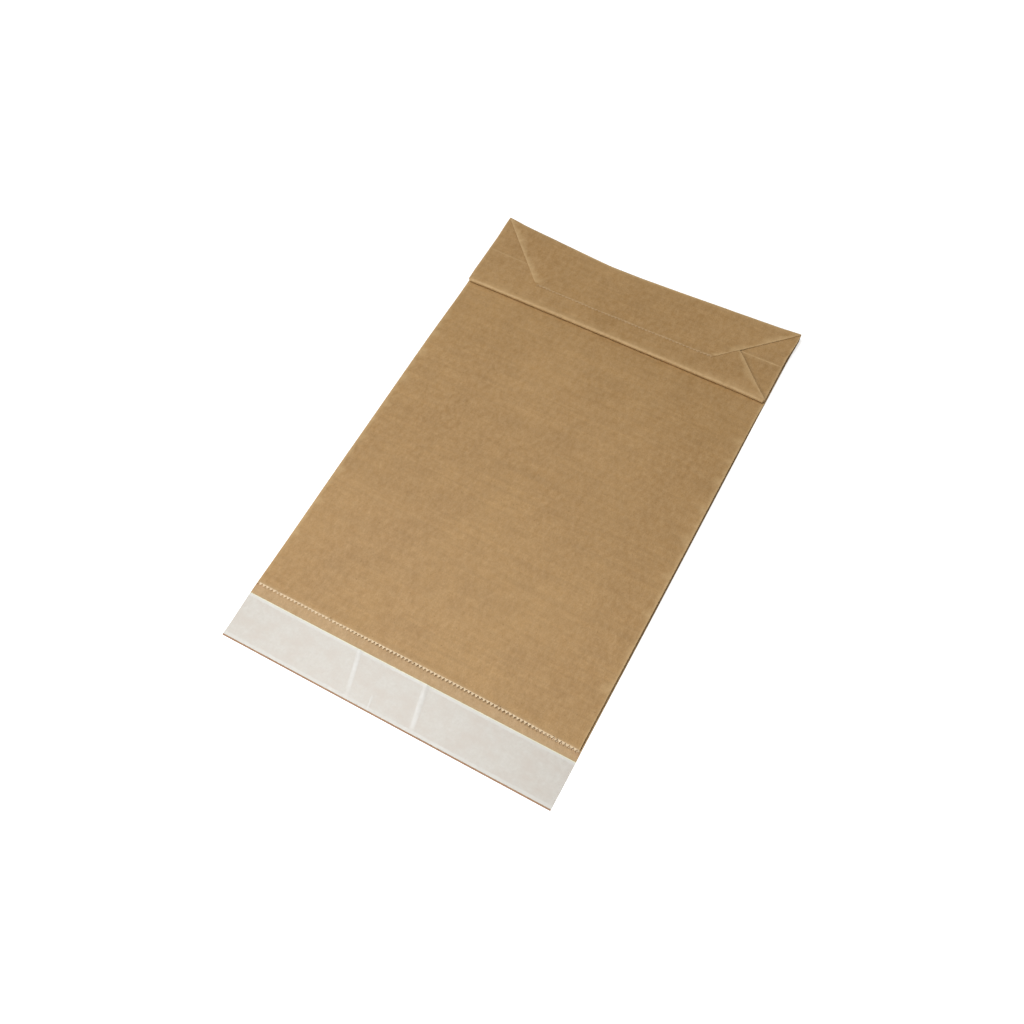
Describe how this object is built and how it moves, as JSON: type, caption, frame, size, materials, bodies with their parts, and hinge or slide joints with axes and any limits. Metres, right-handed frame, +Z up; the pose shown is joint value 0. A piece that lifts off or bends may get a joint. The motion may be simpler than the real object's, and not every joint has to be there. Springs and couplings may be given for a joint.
{
  "type": "gusseted paper mailer",
  "caption": "Flat kraft paper mailing bag with side gussets, folded block end, toothed mouth and an adhesive flap under a release liner.",
  "frame": {"origin": "centre of the bounding box's underside: the middle of the face that the mailer lies on", "axes": "+Y along the bag towards the folded block end, -Y towards the open flap, +Z up out of the front panel"},
  "size_m": [0.3036, 0.4894, 0.0096],
  "materials": {
    "kraft_paper": "matte, lightly ribbed brown kraft paper",
    "adhesive": "clear, slightly glossy hot-melt layer",
    "release_liner": "thin off-white siliconised paper, slightly translucent"
  },
  "bodies": {
    "root": {"paper_bag": "kraft_paper", "adhesive_strip": "adhesive", "release_liner": "release_liner"}
  },
  "joints": []
}
